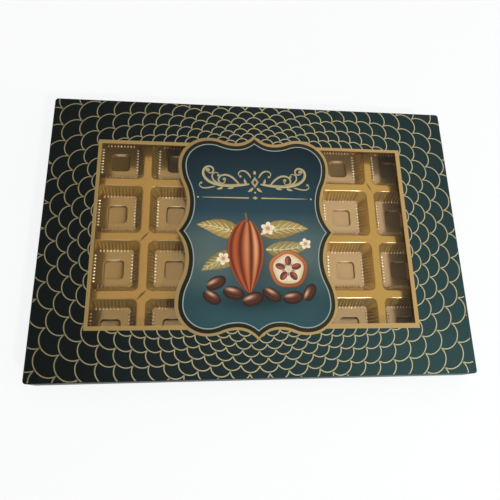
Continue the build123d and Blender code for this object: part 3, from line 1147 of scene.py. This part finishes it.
def repeatCell(name, cell):
    cell.materials.append(goldTray)
    values = {
        "Columns": cavity["columns"],
        "Rows": cavity["rows"],
        "Pitch": cavity["pitch"] * mm,
        "Centre": trayCentre,
        "Sheet": goldTray,
    }
    return growPiece(name, gridShape(values), values, cell)


def makeTray():
    piece = repeatCell("ribbedTray", makeCell())
    # flange margin and skirt, joined to the grid's outer corners
    columns, rows, pitch = cavity["columns"], cavity["rows"], cavity["pitch"]
    right, back = columns * pitch / 2, rows * pitch / 2
    points, faces = [], []
    for x, y, stepX, stepY, count in (
        (-right, -back, pitch, 0, columns),
        (right, -back, 0, pitch, rows),
        (right, back, -pitch, 0, columns),
        (-right, back, 0, -pitch, rows),
    ):
        points += [(x + stepX * i, y + stepY * i, 0) for i in range(count)]
    hole = range(len(points))
    halfX, halfY = (trayHigh.x - trayLow.x) / 2 / mm, (trayHigh.y - trayLow.y) / 2 / mm
    turns = [pi / 2 * i / rim["shoulderSteps"] for i in range(rim["shoulderSteps"] + 1)]
    rings = [(rim["shoulder"] * (1 - sin(a)), rim["shoulder"] * (1 - cos(a))) for a in turns]
    rings.append((0, (trayHigh.z - trayLow.z) / mm))
    for inset, drop in rings:
        for quarter, (signX, signY) in enumerate(((1, 1), (-1, 1), (-1, -1), (1, -1))):
            for i in range(rim["cornerSteps"] + 1):
                angle = pi / 2 * (quarter + i / rim["cornerSteps"])
                reach = rim["corner"] - inset
                x = signX * (halfX - rim["corner"]) + reach * cos(angle)
                y = signY * (halfY - rim["corner"]) + reach * sin(angle)
                points.append((x, y, -drop))
    loopSize = 4 * (rim["cornerSteps"] + 1)
    starts = [len(hole) + ring * loopSize for ring in range(len(rings))]
    faces += fillBetween(points, range(starts[0], starts[0] + loopSize), hole)
    for outer, inner in zip(starts, starts[1:]):
        bridge(faces, inner, outer, loopSize)
    with reshape(piece.data) as bm:
        corners = [bm.verts.new(Vector(p) * mm + trayCentre) for p in points]
        for face in faces:
            bm.faces.new([corners[i] for i in face])
        joinPoints(bm, "tray")
        openUpwards(bm)
        softenShading(bm, rim["creaseAngle"])
    wall = piece.modifiers.new("sheet", "SOLIDIFY")
    wall.thickness = cavity["sheet"] * mm
    wall.offset = -1
    return piece


def makeCreases():  # short folds pressed into the flange where strips cross
    points, faces = [], []
    for column, row, heading in creases["crossings"]:
        x = cavity["centre"][0] + (column - cavity["columns"] / 2) * cavity["pitch"]
        y = cavity["centre"][1] + (row - cavity["rows"] / 2) * cavity["pitch"]
        along = Vector((*toward(radians(heading)), 0))
        across = Vector((-along.y, along.x, 0))
        middle = Vector((x, y, trayHigh.z / mm))
        start = len(points)
        points += [middle - along * creases["length"] / 2, middle + along * creases["length"] / 2]
        points += [middle + across * creases["width"] / 2, middle - across * creases["width"] / 2]
        points.append(middle + Vector((0, 0, creases["height"])))
        for a, b in ((1, 2), (2, 0), (0, 3), (3, 1)):
            faces.append((start + a, start + b, start + 4))
        faces.append((start, start + 2, start + 1, start + 3))
    return addPiece("trayCreases", [p * mm for p in points], faces, [goldTray])


ribbedTray = makeTray()
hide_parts("tray")
trayCreases = makeCreases()
ribToes = repeatCell("ribToes", makeToes())
for piece in (ribbedTray, trayCreases, ribToes):
    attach(piece, "tray")
print("tray formed,", len(ribbedTray.data.polygons), "faces")


# floor, light and camera

studio = {
    "disc": 0.6,  # reach of the flat middle of the floor
    "floorReach": 2.2,
    "cove": 0.9,
    "height": 2.6,
    "coveSteps": 12,
    "spokes": 64,
    "white": (0.99, 0.995, 1.0, 1.0),
    "whiteShare": 0.85,
    "daylight": 0.3,
    "lamps": {  # place, aim, size and power
        "ceiling": ((0.25, 0.55, 1.2), (0.25, 0.55, 0), 1.6, 6.9),
        "key": ((0.4, -0.65, 0.8), (0, 0, 0), 0.07, 5.0),
        "sideFill": ((0.75, -0.2, 0.36), (0, 0, 0), 0.4, 2.0),
    },
}


def makeFloor():  # a round floor that sweeps up into a wall, pale from every side
    material = newMaterial("paleFloor", (246, 246, 246), Roughness=0.9)
    tree = material.node_tree
    rays = addNode(tree, "ShaderNodeLightPath").outputs
    camera, mirrored, through = (Wire(rays[f"Is {kind} Ray"]) for kind in ("Camera", "Glossy", "Transmission"))
    white = wire(tree, "ShaderNodeEmission", {"Color": studio["white"], "Strength": 1.0})
    plain = Wire(tree.nodes["Principled BSDF"].outputs[0])
    showInstead(camera.orMore(mirrored).orMore(through) * studio["whiteShare"], plain, white)
    flat, cove, spokes = studio["floorReach"], studio["cove"], studio["spokes"]
    profile = [(studio["disc"], 0.0)]
    for i in range(studio["coveSteps"] + 1):
        angle = pi / 2 * i / studio["coveSteps"]
        profile.append((flat + cove * sin(angle), cove * (1 - cos(angle))))
    profile.append((flat + cove, studio["height"]))
    turns = [2 * pi * i / spokes for i in range(spokes)]
    points = [(reach * cos(a), reach * sin(a), height) for reach, height in profile for a in turns]
    faces = [tuple(range(spokes))]
    for ring in range(len(profile) - 1):
        bridge(faces, (ring + 1) * spokes, ring * spokes, spokes)
    floor = addPiece("floor", points, faces, [material])
    floor.data.shade_smooth()


def addLamp(name, place, aim, size, power):
    lamp = bpy.data.lights.new(name, "AREA")
    lamp.shape, lamp.size, lamp.energy = "SQUARE", size, power
    holder = bpy.data.objects.new(name, lamp)
    holder.location = place
    holder.rotation_euler = (Vector(aim) - Vector(place)).to_track_quat("-Z", "Y").to_euler()
    bpy.context.scene.collection.objects.link(holder)


def makeLight():
    for name, lamp in studio["lamps"].items():
        addLamp(name, *lamp)
    world = bpy.data.worlds.new("studio")
    world.use_nodes = True
    light = world.node_tree.nodes["Background"].inputs
    light["Color"].default_value, light["Strength"].default_value = (1, 1, 1, 1), studio["daylight"]
    bpy.context.scene.world = world


cameraView = {
    "place": (-30.376, -105.537, 301.036),
    "turn": (17.479, -6.783, -1.749),
    "lens": 34.57,
    "shift": (-0.0378, 0.015),
    "sensor": 36,
    "nearest": 0.01,
}


def makeCamera():
    camera = bpy.data.objects.new("camera", bpy.data.cameras.new("camera"))
    camera.location = Vector(cameraView["place"]) * mm
    camera.rotation_euler = [radians(a) for a in cameraView["turn"]]
    camera.data.sensor_width = cameraView["sensor"]
    camera.data.lens = cameraView["lens"]
    camera.data.shift_x, camera.data.shift_y = cameraView["shift"]
    camera.data.clip_start = cameraView["nearest"]
    bpy.context.scene.collection.objects.link(camera)
    bpy.context.scene.camera = camera


makeFloor()
makeLight()
makeCamera()
bpy.context.scene.view_settings.view_transform = "Standard"
print("floor, light and camera set")
